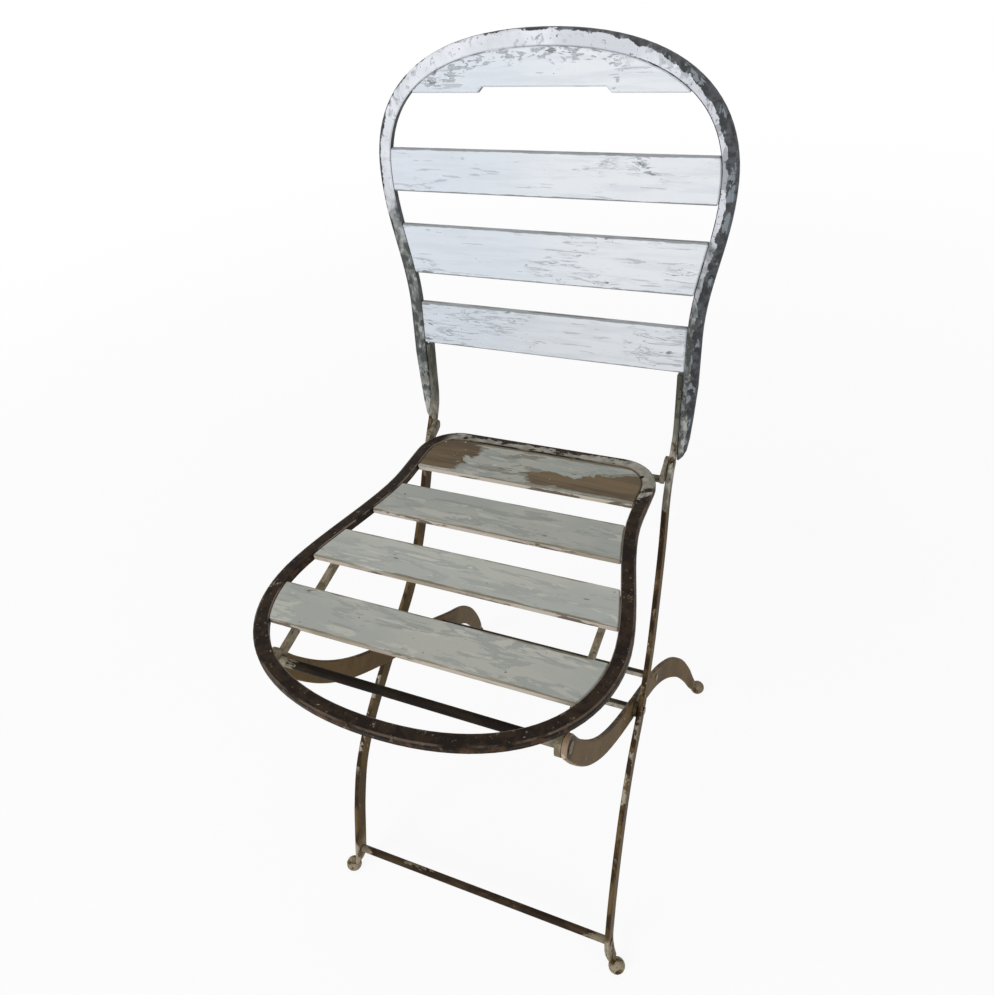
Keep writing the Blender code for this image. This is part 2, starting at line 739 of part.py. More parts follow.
def stadium(name, start, end, width, x_a, x_b, collection, steps=9):
    """A flat bar with round ends between two (y, z) points, its faces looking sideways."""
    start, end = Vector(start), Vector(end)
    heading = atan2(end.y - start.y, end.x - start.x)
    outline = []
    for centre, base in ((end, heading - pi / 2), (start, heading + pi / 2)):
        for i in range(steps):
            turn = base + pi * i / (steps - 1)
            outline.append((centre.x + cos(turn) * width / 2, centre.y + sin(turn) * width / 2))
    rings = [[Vector((x, y, z)) for y, z in outline] for x in sorted((x_a, x_b))]
    return loft(name, rings, False, collection)


def build_hooks(parts, cutters):
    """Flat irons fixed under the seat, each ending in a hook that sits on the front rod."""
    slope = HOOK_MOUTH_SLOPE
    way_out = Matrix(
        ((0, 0, 1, 0), (cos(slope), sin(slope), 0, 0), (-sin(slope), cos(slope), 0, 0), (0, 0, 0, 1))
    )
    place = Matrix.Translation((0.0, *FRONT_ROD)) @ way_out
    for word, side in sides():
        low_x, high_x = sorted((side * HOOK_INNER_X, side * (HOOK_INNER_X + HOOK_THICKNESS)))
        obj = stadium(f"seat_hook_{word}", FRONT_ROD, HOOK_ROOT, HOOK_WIDTH, low_x, high_x, parts)
        eye = cylinder_x(
            f"eye_{word}", FRONT_ROD, HOOK_EYE_RADIUS, low_x - HOOK_EYE_PROUD, high_x + HOOK_EYE_PROUD, cutters
        )
        add_boolean(obj, eye, "UNION")
        drill(obj, FRONT_ROD, ROD_RADIUS + PIN_GAP, side * HOOK_INNER_X, cutters)
        low = (0.0, -HOOK_MOUTH_HALF, low_x - CUT_OVERRUN)
        high = (2 * HOOK_EYE_RADIUS, HOOK_MOUTH_HALF, high_x + CUT_OVERRUN)
        add_boolean(obj, box(f"mouth_{word}", low, high, cutters, place), "DIFFERENCE")
        drill(obj, HOOK_ROOT, HOOK_PIN_RADIUS + PIN_GAP, side * HOOK_INNER_X, cutters)
        finish(obj, worn_iron(), 40)


def build_hook_brackets(parts, cutters):
    """Angle irons under the seat hoop, with the rivets that hold the hooks to them."""
    matrix = seat_matrix()
    inner_x = HOOK_INNER_X + HOOK_THICKNESS + GAP
    at = (SEAT_REAR_Y - HOOK_ROOT[0]) / cos(SEAT_PITCH)
    top = -SEAT_RIM_DEPTH - GAP
    for word, side in sides():
        low_x, high_x = sorted((-side * inner_x, -side * (inner_x + BRACKET_WIDTH)))
        low = (low_x, at - BRACKET_LENGTH / 2, top - BRACKET_PLATE)
        high = (high_x, at + BRACKET_LENGTH / 2, top)
        obj = box(f"hook_bracket_{word}", low, high, parts, matrix)
        ear = stadium(
            f"ear_{word}", (HOOK_ROOT[0], HOOK_ROOT[1] - EAR_DROP), HOOK_ROOT, 2 * BRACKET_EAR_RADIUS,
            side * inner_x, side * (inner_x + BRACKET_THICKNESS), cutters,
        )
        roof = box(f"roof_{word}", (-0.02, -0.02, 0), (0.02, 0.02, 0.02), cutters)
        roof.matrix_world = matrix @ Matrix.Translation((-side * inner_x, at, top - GAP / 2))
        add_boolean(ear, roof, "DIFFERENCE")
        add_boolean(obj, ear, "UNION")
        drill(obj, HOOK_ROOT, HOOK_PIN_RADIUS + PIN_GAP, side * inner_x, cutters)
        finish(obj, worn_iron(), 40)
        rivet(
            f"hook_rivet_{word}", HOOK_ROOT, side, HOOK_INNER_X, inner_x + BRACKET_THICKNESS,
            HOOK_PIN_RADIUS, HOOK_HEAD_RADIUS, parts,
        )


def hang_on(name, centre, pieces, collection):
    """An empty on a joint's axis that carries the pieces which turn about it."""
    empty = bpy.data.objects.new(name, None)
    empty.location = (0.0, *centre)
    collection.objects.link(empty)
    for piece in pieces:
        piece.parent = empty
        piece.matrix_parent_inverse = Matrix.Translation(empty.location).inverted()


def hang_on_pivots(parts):
    """Each moving body's pieces hang on the axis of its joint."""
    pieces = [obj for obj in parts.objects if not obj.name.startswith("seat_hinge_rivet")]
    rear = [obj for obj in pieces if obj.name.startswith(("rear_", "front_rod", "pivot_"))]
    seat = [obj for obj in pieces if obj.name.startswith(("seat_", "hook_"))]
    hang_on("rear_legs_axis", CROSSING, rear, parts)
    hang_on("seat_axis", HINGE, seat, parts)


def main():
    clear_scene()
    parts = new_collection("garden_chair")
    cutters = new_collection("cutters", hidden=True)
    build_back(parts)
    build_front_legs(parts, cutters)
    build_rear_legs(parts, cutters)
    build_seat(parts)
    build_hinge_arms(parts, cutters)
    build_hook_brackets(parts, cutters)
    build_hooks(parts, cutters)
    hang_on_pivots(parts)


main()
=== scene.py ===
"""The folding garden chair, dressed for its picture: paint, worn iron, rivets, floor, light and camera."""

from math import cos, pi, radians, sin

import bmesh
import bpy
from mathutils import Matrix, Vector


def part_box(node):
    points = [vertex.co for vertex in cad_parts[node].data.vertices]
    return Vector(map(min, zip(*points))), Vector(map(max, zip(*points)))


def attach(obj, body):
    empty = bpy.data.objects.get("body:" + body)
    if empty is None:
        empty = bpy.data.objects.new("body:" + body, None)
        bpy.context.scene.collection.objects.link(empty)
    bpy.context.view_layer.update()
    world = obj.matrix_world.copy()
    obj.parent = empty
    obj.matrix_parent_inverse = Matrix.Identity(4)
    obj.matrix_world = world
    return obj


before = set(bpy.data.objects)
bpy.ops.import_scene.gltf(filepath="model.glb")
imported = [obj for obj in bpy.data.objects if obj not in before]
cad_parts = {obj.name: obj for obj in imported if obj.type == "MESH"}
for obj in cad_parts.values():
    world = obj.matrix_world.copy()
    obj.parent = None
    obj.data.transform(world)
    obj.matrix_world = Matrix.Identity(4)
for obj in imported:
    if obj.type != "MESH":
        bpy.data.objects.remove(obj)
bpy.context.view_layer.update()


# The seat's and the back's planes, as part.py has them: a point, the way along, the way out of the face
SEAT_PITCH = radians(3.07)
BACK_LEAN = radians(10.5)
SEAT_POINT = Vector((0.0, 0.1510, 0.4625))
SEAT_FORWARD = Vector((0.0, -cos(SEAT_PITCH), sin(SEAT_PITCH)))
SEAT_UP = Vector((0.0, sin(SEAT_PITCH), cos(SEAT_PITCH)))
BACK_POINT = Vector((0.0, 0.1661, 0.470))
BACK_UP = Vector((0.0, sin(BACK_LEAN), cos(BACK_LEAN)))
BACK_OUT = Vector((0.0, -cos(BACK_LEAN), sin(BACK_LEAN)))
RIGHT = Vector((1.0, 0.0, 0.0))
REARWARD = Vector((0.0, 1.0, 0.0))
UP = Vector((0.0, 0.0, 1.0))

# A noise's stretch that is the same every way, and a distance's weights for what is seen from the side
EVEN = (1, 1, 1)
FROM_THE_SIDE = (0, 1, 1)

SIDES = ("left", "right")
SEAT_ROWS = (1, 2, 3, 4)

# Lower and upper edge of each slat up the back, rear and front edge of each slat along the seat
BACK_SLAT_EDGES = {"lower": (0.089, 0.136), "middle": (0.168, 0.219), "upper": (0.252, 0.2935)}
SEAT_SLAT_EDGES = ((0.017, 0.0712), (0.104, 0.153), (0.189, 0.234), (0.273, 0.320))

# The back hoop's outline on its face: half width at the waist, what it gains up to the shoulder, where the
# shoulder is, how far the round top rises over it, and the power of that round
HOOP_WAIST = 0.159
HOOP_SWELL = 0.0197
HOOP_WAIST_HEIGHT = 0.135
HOOP_SHOULDER = 0.262
HOOP_RISE = 0.132
HOOP_ROUNDNESS = 2.5
# Size of the hoop's inner outline as a share of the outer one
HOOP_INNER = 0.922

# The hole that is seen in the seat hoop's right rear corner, and the marks on the front legs by the hinge
SEAT_HOLE = (0.1193, 0.1241, 0.4639)
LEG_HOLES = ((0.145, 0.1186, 0.4671), (0.145, 0.1500, 0.4790), (0.145, 0.1560, 0.4615))
# The crest's flakes lie round a line: its height in the middle, and how fast it falls to the sides
CROWN_HEIGHT = 0.3845
CROWN_FALL = 1.75
# Where the rear seat slat is bare: left of one place, right of another from some way along the seat, and
# on a tongue; a strip along its front edge and an island on the right keep their paint
BARE_LEFT = -0.058
BARE_RIGHT = 0.052
BARE_FORE = 0.050
TONGUE = (0.034, 0.094, 0.4655)
TONGUE_REACH = 0.030
FRONT_STRIP = 0.0685
ISLAND = (0.092, 0.129, 0.4640)
# Where the rear legs' heads, the hollow under their humps and their feet are
REAR_HEAD = (0.147, -0.186, 0.4425)
REAR_HUMP = (0.15, 0.098, 0.158)
REAR_FOOT = (0.172, 0.206, 0.010)

RIVET_RADIUS = 0.0030
RIVET_HEIGHT = 0.0012
RIVET_HALF_SPACING = 0.0068
# Steps round a rivet's head, and its rings: share of the radius, level as a share of the height
DOME_STEPS = 14
DOME_SUNK = 0.0002
DOME_RINGS = ((1.0, 0.25), (0.86, 0.68), (0.55, 0.94))

# The camera, as found from the photograph: focal length in pixels of the frame's width, and its angles
FOCAL_PIXELS = 840.97
FRAME_WIDTH = 994
SENSOR_WIDTH = 36.0
CAMERA_AZIMUTH = radians(28.92)
CAMERA_ELEVATION = radians(41.19)
CAMERA_ROLL = radians(9.19)
CAMERA_PLACE = (0.3031, -0.5231, 1.0415)

WHITE = (1.0, 1.0, 1.0, 1.0)
FLOOR_SIZE = 7.0
# The floor's white glow for the camera: the distances between which its share grows, and its two shares
FLOOR_GLOW = (0.7, 2.5, 0.90, 1.0)
AMBIENT = 0.42


def tone(red, green, blue):
    """A colour given in 0 to 255 as the shader wants it."""
    linear = []
    for value in (red, green, blue):
        value /= 255
        linear.append(value / 12.92 if value <= 0.04045 else ((value + 0.055) / 1.055) ** 2.4)
    return (*linear, 1.0)


def toned_down(shade):
    """Colours that are all darker by the same shade."""
    return lambda *colour: tone(*[value - shade for value in colour])


class Look:
    """A node material whose masks are built from the object's own coordinates."""

    def __init__(self, name, specular=None):
        self.material = bpy.data.materials.new(name)
        self.material.use_nodes = True
        self.tree = self.material.node_tree
        self.shader = self.tree.nodes["Principled BSDF"]
        if specular is not None:
            self.shader.inputs["Specular IOR Level"].default_value = specular
        place = self.tree.nodes.new("ShaderNodeTexCoord")
        self.at = place.outputs["Object"]
        self.normal = place.outputs["Normal"]

    def feed(self, socket, value):
        if isinstance(value, bpy.types.NodeSocket):
            self.tree.links.new(value, socket)
        else:
            socket.default_value = value

    def math(self, operation, a, b=0.0):
        node = self.tree.nodes.new("ShaderNodeMath")
        node.operation = operation
        self.feed(node.inputs[0], a)
        self.feed(node.inputs[1], b)
        return node.outputs[0]

    def times(self, a, b):
        return self.math("MULTIPLY", a, b)

    def minus(self, a, b):
        return self.math("SUBTRACT", a, b)

    def size(self, a):
        return self.math("ABSOLUTE", a)

    def add(self, a, b, weight=1.0):
        if weight != 1.0:
            b = self.times(b, weight)
        return self.math("ADD", a, b)

    def inverse(self, mask):
        return self.minus(1.0, mask)

    def dot(self, vector, direction):
        node = self.tree.nodes.new("ShaderNodeVectorMath")
        node.operation = "DOT_PRODUCT"
        self.feed(node.inputs[0], vector)
        self.feed(node.inputs[1], tuple(direction))
        return node.outputs["Value"]

    def place(self, direction):
        """The object's own coordinate in a direction."""
        return self.dot(self.at, direction)

    def facing(self, direction):
        """1 where the surface faces a direction."""
        return self.dot(self.normal, direction)

    def along(self, point, direction):
        """Distance from a point, measured in a direction."""
        return self.minus(self.place(direction), point.dot(direction))

    def near(self, point, stretch=EVEN):
        """Distance from a point, with each axis weighted."""
        shift = self.tree.nodes.new("ShaderNodeVectorMath")
        shift.operation = "SUBTRACT"
        self.feed(shift.inputs[0], self.at)
        shift.inputs[1].default_value = point
        scale = self.tree.nodes.new("ShaderNodeVectorMath")
        scale.operation = "MULTIPLY"
        self.feed(scale.inputs[0], shift.outputs[0])
        scale.inputs[1].default_value = stretch
        size = self.tree.nodes.new("ShaderNodeVectorMath")
        size.operation = "LENGTH"
        self.feed(size.inputs[0], scale.outputs[0])
        return size.outputs["Value"]

    def noise(self, scale, stretch=EVEN, seed=0.0, detail=6.0, rough=0.6, warp=0.0):
        mapping = self.tree.nodes.new("ShaderNodeMapping")
        self.feed(mapping.inputs["Vector"], self.at)
        mapping.inputs["Location"].default_value = (seed * 1.7, seed * 0.9, seed * 1.3)
        mapping.inputs["Scale"].default_value = stretch
        node = self.tree.nodes.new("ShaderNodeTexNoise")
        self.feed(node.inputs["Vector"], mapping.outputs[0])
        node.inputs["Scale"].default_value = scale
        node.inputs["Detail"].default_value = detail
        node.inputs["Roughness"].default_value = rough
        node.inputs["Distortion"].default_value = warp
        return node.outputs["Fac"]

    def swing(self, *noise):
        """A noise that swings about 0."""
        return self.minus(self.noise(*noise), 0.5)

    def ramp(self, value, low, high):
        """0 at low, 1 at high, whichever of them is larger."""
        node = self.tree.nodes.new("ShaderNodeMapRange")
        node.interpolation_type = "SMOOTHSTEP"
        self.feed(node.inputs["Value"], value)
        node.inputs["From Min"].default_value = min(low, high)
        node.inputs["From Max"].default_value = max(low, high)
        node.inputs["To Min"].default_value = 0.0 if low < high else 1.0
        node.inputs["To Max"].default_value = 1.0 if low < high else 0.0
        return node.outputs["Result"]

    def mix(self, mask, below, above):
        """A colour that is below where the mask is 0 and above where it is 1."""
        node = self.tree.nodes.new("ShaderNodeMix")
        node.data_type = "RGBA"
        self.feed(node.inputs["Factor"], mask)
        self.feed(node.inputs["A"], below)
        self.feed(node.inputs["B"], above)
        return node.outputs["Result"]

    def both(self, *masks):
        made = masks[0]
        for mask in masks[1:]:
            made = self.times(made, mask)
        return made

    def either(self, *masks):
        made = masks[0]
        for mask in masks[1:]:
            made = self.math("MAXIMUM", made, mask)
        return made

    def finish(self, colour, rough, height, distance):
        """Wires the colour, a roughness from (low, high, mask), and a bump."""
        self.feed(self.shader.inputs["Base Color"], colour)
        low, high, mask = rough
        node = self.tree.nodes.new("ShaderNodeMapRange")
        self.feed(node.inputs["Value"], mask)
        node.inputs["To Min"].default_value = low
        node.inputs["To Max"].default_value = high
        self.feed(self.shader.inputs["Roughness"], node.outputs["Result"])
        bump = self.tree.nodes.new("ShaderNodeBump")
        bump.inputs["Strength"].default_value = 0.8
        bump.inputs["Distance"].default_value = distance
        self.feed(bump.inputs["Height"], height)
        self.feed(self.shader.inputs["Normal"], bump.outputs["Normal"])
        return self.material


def back_slat(name, seed, shade, edges=None, dense=0.0, spots=()):
    """Blue-white paint, painted shade towards its left end, thin grey flakes along the grain; without edges,
    the crest slat.
    """
    look = Look(name)
    paint = toned_down(shade)
    facing = look.facing(BACK_OUT)
    face = look.ramp(facing, 0.30, 0.60)
    sideways = look.place(RIGHT)
    height = look.along(BACK_POINT, BACK_UP)
    # Painted shade: darker, bluer paint towards the left end, plus random changes of tone
    left_shade_and_tone = look.add(look.ramp(sideways, -0.15, 0.12), look.swing(9, (0.6, 1, 1), seed, 3), 1.6)
    colour = look.mix(look.ramp(left_shade_and_tone, 0.0, 1.0), paint(212, 219, 228), paint(224, 228, 233))
    fine = look.noise(150, (0.10, 1, 1), seed + 2, 4, 0.6)
    colour = look.mix(look.times(look.ramp(fine, 0.45, 0.65), 0.5), colour, paint(203, 209, 217))
    if edges:
        streaks = look.noise(170, (0.15, 1, 1), seed + 3, 6, 0.60, 0.7)
        region = look.ramp(look.noise(15, (0.45, 1, 1), seed + 7, 3), 0.60 - dense, 0.66 - dense)
        flakes = look.ramp(streaks, 0.620, 0.640)
    else:
        streaks = look.noise(290, (0.36, 1, 1), seed + 3, 6, 0.60, 0.7)
        crown = look.minus(CROWN_HEIGHT, look.times(look.times(sideways, sideways), CROWN_FALL))
        crown = look.add(crown, look.swing(30, EVEN, seed + 8, 3), 0.030)
        band = look.ramp(look.size(look.minus(height, crown)), 0.0150, 0.0125)
        region = look.both(band, look.ramp(sideways, 0.092, 0.060))
        flakes = look.ramp(streaks, 0.535, 0.555)
    outline = look.both(look.ramp(look.size(look.minus(streaks, 0.555)), 0.020, 0.008), region)
    colour = look.mix(look.both(flakes, region), colour, tone(178, 183, 190))
    colour = look.mix(look.times(outline, 0.6), colour, tone(166, 172, 180))
    thin = look.noise(240, (0.10, 1, 1), seed + 9, 4, 0.55, 0.5)
    colour = look.mix(look.times(look.ramp(thin, 0.635, 0.655), 0.7), colour, tone(168, 173, 180))
    deep = look.ramp(look.noise(260, (0.25, 1, 1), seed + 15, 3, 0.5, 0.5), 0.665, 0.69)
    colour = look.mix(look.both(deep, region), colour, tone(126, 130, 134))
    speck = look.ramp(look.noise(420, (0.7, 1, 1), seed + 21, 2, 0.5), 0.755, 0.78)
    colour = look.mix(speck, colour, tone(118, 114, 110))
    for point, reach, wide, dark in spots:
        torn = look.noise(230, (0.45, 1, 1), seed + 30, 5, 0.68, 0.8)
        around = look.add(look.near(point, wide), torn, reach * 5.0)
        colour = look.mix(look.ramp(around, reach * 3.15, reach * 3.0), colour, tone(166, 173, 181))
        colour = look.mix(look.ramp(around, reach * 2.55, reach * 2.35), colour, tone(*dark))
    side_wear = look.ramp(look.noise(85, (0.3, 1, 1), seed + 41, 5), 0.46, 0.58)
    side = look.mix(side_wear, tone(162, 166, 171), tone(112, 113, 114))
    colour = look.mix(look.inverse(face), colour, side)
    board = look.mix(look.ramp(fine, 0.42, 0.62), tone(194, 197, 200), tone(176, 178, 180))
    board = look.mix(look.ramp(streaks, 0.60, 0.63), board, tone(150, 147, 140))
    board = look.mix(look.ramp(thin, 0.60, 0.63), board, tone(118, 110, 98))
    colour = look.mix(look.ramp(facing, -0.30, -0.60), colour, board)
    if edges:
        low, high = edges
        nearest = look.math("MINIMUM", look.minus(height, low), look.minus(high, height))
        nearest = look.add(nearest, look.noise(150, (0.3, 1, 1), seed + 33, 4), -0.0034)
        rubbed = look.both(look.ramp(nearest, 0.0002, -0.0006), face)
        colour = look.mix(rubbed, colour, tone(142, 145, 148))
    bumps = look.add(look.times(outline, -0.8), fine, 0.4)
    return look.finish(colour, (0.45, 0.70, streaks), bumps, 0.00030)


def bare_wood(look, colour, worn, seed, place, streaks, grain):
    """The rear slat, bare at its left end and over much of its right half; returns colour and wear."""
    figure = look.noise(60, (0.12, 1, 1), seed + 19, 5, 0.6, 0.8)
    wood = look.mix(look.ramp(figure, 0.40, 0.60), tone(80, 66, 47), tone(106, 89, 65))
    wood = look.mix(look.times(look.ramp(grain, 0.50, 0.66), 0.6), wood, tone(78, 66, 52))
    torn = look.times(look.swing(42, (0.5, 1, 1), seed + 23, 7, 0.66, 0.9), 0.100)
    sideways = look.place(RIGHT)
    leftness = look.minus(look.minus(BARE_LEFT, sideways), look.times(place, 0.30))
    rearness = look.times(look.minus(BARE_FORE, place), 1.7)
    rightness = look.minus(look.minus(sideways, BARE_RIGHT), rearness)
    tongue = look.minus(TONGUE_REACH, look.near(TONGUE, (0.95, 2.3, 1.0)))
    bared = look.either(look.add(leftness, torn), look.add(rightness, torn), look.add(tongue, torn))
    off_strip = look.ramp(look.add(look.minus(FRONT_STRIP, place), torn, 0.06), -0.0002, 0.0012)
    island = look.add(look.near(ISLAND, (0.7, 1.5, 1.0)), torn)
    gone = look.both(look.ramp(bared, 0.0, 0.0012), off_strip, look.ramp(island, 0.0125, 0.0145))
    border = look.both(look.ramp(bared, -0.0050, -0.0020), look.inverse(gone), look.ramp(streaks, 0.42, 0.46))
    colour = look.mix(look.times(border, 0.75), colour, tone(104, 104, 90))
    colour = look.mix(gone, colour, wood)
    marks = look.ramp(look.noise(100, (0.18, 1, 1), seed + 40, 5, 0.6, 0.5), 0.585, 0.60)
    colour = look.mix(look.times(look.both(marks, look.inverse(gone)), 0.8), colour, tone(108, 104, 88))
    bright = look.ramp(look.noise(160, (0.5, 1, 1), seed + 44, 4), 0.68, 0.70)
    colour = look.mix(bright, colour, tone(186, 182, 172))
    return colour, look.either(worn, gone)


def seat_slat(name, edges, seed, shade, bare=False):
    """Grey paint in layers on old boards: crisp flakes, pinkish primer on the front edge."""
    look = Look(name)
    paint = toned_down(shade)
    low, high = edges
    top = look.ramp(look.facing(SEAT_UP), 0.45, 0.75)
    front = look.ramp(look.facing(SEAT_FORWARD), 0.40, 0.70)
    place = look.along(SEAT_POINT, SEAT_FORWARD)
    cloudy = look.noise(14, (0.5, 1, 1), seed, 4, 0.6, 0.4)
    colour = look.mix(look.ramp(cloudy, 0.40, 0.60), paint(151, 154, 147), paint(162, 162, 153))
    layer = look.noise(72, (0.20, 1, 1), seed + 4, 7, 0.64, 0.5)
    colour = look.mix(look.ramp(layer, 0.535, 0.550), colour, paint(142, 145, 139))
    colour = look.mix(look.ramp(layer, 0.615, 0.630), colour, paint(169, 169, 159))
    streaks = look.noise(95, (0.11, 1, 1), seed + 8, 7, 0.62, 0.5)
    colour = look.mix(look.times(look.ramp(streaks, 0.58, 0.62), 0.7), colour, paint(132, 134, 127))
    pale = look.ramp(look.noise(90, (0.18, 1, 1), seed + 10, 7, 0.64, 0.5), 0.585, 0.60)
    colour = look.mix(look.times(pale, 0.8), colour, paint(174, 173, 163))
    flaked = look.ramp(look.noise(85, (0.20, 1, 1), seed + 12, 6, 0.62, 0.7), 0.675, 0.690)
    ragged = look.noise(130, (0.16, 1, 1), seed + 14, 4)
    rear_edge = look.ramp(look.add(look.minus(place, low), ragged, -0.0070), -0.0010, -0.0024)
    fore_edge = look.ramp(look.add(look.minus(high, place), ragged, -0.0062), -0.0012, -0.0026)
    worn = look.either(flaked, look.both(look.either(rear_edge, fore_edge), top))
    grain = look.noise(210, (0.05, 1, 1), seed + 18, 4, 0.6, 0.6)
    old_wood = look.mix(look.ramp(grain, 0.40, 0.60), tone(96, 90, 74), tone(124, 117, 98))
    colour = look.mix(worn, colour, old_wood)
    if bare:
        colour, worn = bare_wood(look, colour, worn, seed, place, streaks, grain)
    pink = look.mix(look.ramp(streaks, 0.45, 0.60), tone(180, 170, 158), tone(146, 135, 120))
    broken = look.ramp(look.noise(110, (0.2, 1, 1), seed + 26, 5, 0.62), 0.55, 0.58)
    pink = look.mix(broken, pink, tone(92, 80, 66))
    board = look.mix(look.ramp(grain, 0.40, 0.62), tone(122, 116, 102), tone(98, 90, 76))
    board = look.mix(look.times(look.ramp(streaks, 0.56, 0.60), 0.7), board, tone(144, 141, 131))
    colour = look.mix(look.inverse(top), colour, look.mix(front, board, pink))
    speck = look.ramp(look.noise(300, (0.7, 1, 1), seed + 30, 2, 0.5), 0.735, 0.765)
    colour = look.mix(speck, colour, tone(84, 78, 66))
    bumps = look.add(look.times(look.inverse(worn), 0.7), grain, 0.5)
    return look.finish(colour, (0.50, 0.85, worn), bumps, 0.00035)


def across_hoop(look, sideways, height):
    """0 at the back hoop's inner outline and 1 at its outer one."""
    swell = look.ramp(height, HOOP_WAIST_HEIGHT, HOOP_SHOULDER)
    half_width = look.add(HOOP_WAIST, swell, HOOP_SWELL)
    beam = look.math("DIVIDE", look.size(sideways), half_width)
    rise = look.math("MAXIMUM", look.minus(height, HOOP_SHOULDER), 0.0)
    rise = look.math("DIVIDE", rise, HOOP_RISE)
    powers = [look.math("POWER", share, HOOP_ROUNDNESS) for share in (beam, rise)]
    outward = look.math("POWER", look.add(*powers), 1 / HOOP_ROUNDNESS)
    return look.math("DIVIDE", look.minus(outward, HOOP_INNER), 1 - HOOP_INNER)


def back_hoop():
    """Painted flat bar, worn to dark iron on its outer part, most on the right; grey and mottled low down."""
    look = Look("back_hoop_paint", 0.35)
    facing = look.facing(BACK_OUT)
    height = look.along(BACK_POINT, BACK_UP)
    sideways = look.place(RIGHT)
    cloudy = look.ramp(look.noise(16, EVEN, 2, 4), 0.38, 0.62)
    white = look.mix(cloudy, tone(200, 204, 211), tone(222, 225, 231))
    chips = look.noise(130, EVEN, 5, 6, 0.62, 0.6)
    white = look.mix(look.ramp(chips, 0.585, 0.61), white, tone(186, 190, 197))
    white = look.mix(look.ramp(chips, 0.665, 0.685), white, tone(128, 132, 136))
    mottle = look.noise(125, (1, 1, 0.55), 9, 6, 0.62, 0.6)
    grey = look.mix(look.ramp(mottle, 0.45, 0.54), tone(64, 68, 66), tone(112, 116, 113))
    grey = look.mix(look.ramp(mottle, 0.59, 0.61), grey, tone(158, 161, 158))
    right = look.ramp(sideways, -0.01, 0.13)
    fade = look.add(height, look.swing(30, (1, 1, 0.7), 11, 6, 0.65, 0.6), 0.22)
    lowness = look.ramp(look.add(fade, right, 0.045), 0.272, 0.200)
    paint = look.mix(lowness, white, grey)
    pale = look.ramp(look.noise(95, (1, 1, 0.6), 15, 5), 0.53, 0.56)
    paint = look.mix(look.both(look.ramp(height, 0.060, 0.020), pale), paint, tone(168, 166, 158))
    lilac = look.ramp(look.noise(52, (1, 1, 0.8), 33, 6, 0.62, 0.6), 0.50, 0.53)
    beside = look.both(look.ramp(sideways, 0.09, 0.14), look.inverse(lowness))
    paint = look.mix(look.both(lilac, beside), paint, tone(158, 162, 168))
    blots = look.ramp(look.noise(60, (1, 1, 0.8), 35, 6, 0.62, 0.5), 0.605, 0.62)
    blots = look.both(blots, look.either(lowness, look.times(beside, 0.9)))
    paint = look.mix(blots, paint, tone(60, 63, 62))
    pits = look.ramp(look.noise(280, EVEN, 17, 3, 0.6), 0.675, 0.70)
    paint = look.mix(pits, paint, tone(92, 92, 88))
    iron = look.mix(look.ramp(look.noise(120, EVEN, 21, 5), 0.42, 0.62), tone(40, 41, 44), tone(76, 79, 82))
    remains = look.ramp(look.noise(80, (1, 1, 0.6), 25, 6, 0.62, 0.4), 0.545, 0.56)
    remains = look.both(remains, look.ramp(sideways, -0.10, 0.05), look.ramp(facing, 0.5, 0.8))
    iron = look.mix(remains, iron, tone(122, 130, 136))
    # The edges of the bar are bare, and on its face so is a share that is counted from the outer outline
    torn = look.swing(110, (1, 1, 0.8), 29, 6, 0.65, 0.4)
    shaken = look.times(torn, look.add(0.30, right, 0.50))
    bare = look.minus(look.add(0.42, right, 0.40), look.add(facing, shaken))
    share = look.times(look.ramp(sideways, 0.00, 0.15), 0.52)
    share = look.add(share, look.ramp(sideways, -0.140, -0.172), 0.13)
    outward = look.add(across_hoop(look, sideways, height), torn, 0.75)
    outward = look.add(outward, look.swing(42, (1, 1, 0.6), 37, 5, 0.6, 0.5), 0.9)
    outward = look.minus(outward, look.minus(1.02, share))
    worn = look.either(look.ramp(bare, -0.04, 0.04), look.ramp(outward, -0.02, 0.03))
    colour = look.mix(worn, paint, iron)
    rim = look.both(look.ramp(bare, -0.16, -0.04), look.inverse(worn), look.ramp(chips, 0.50, 0.56))
    colour = look.mix(look.times(rim, 0.6), colour, tone(150, 153, 156))
    bumps = look.add(look.times(look.inverse(look.either(worn, blots)), 0.7), chips, 0.4)
    return look.finish(colour, (0.45, 0.60, worn), bumps, 0.00035)


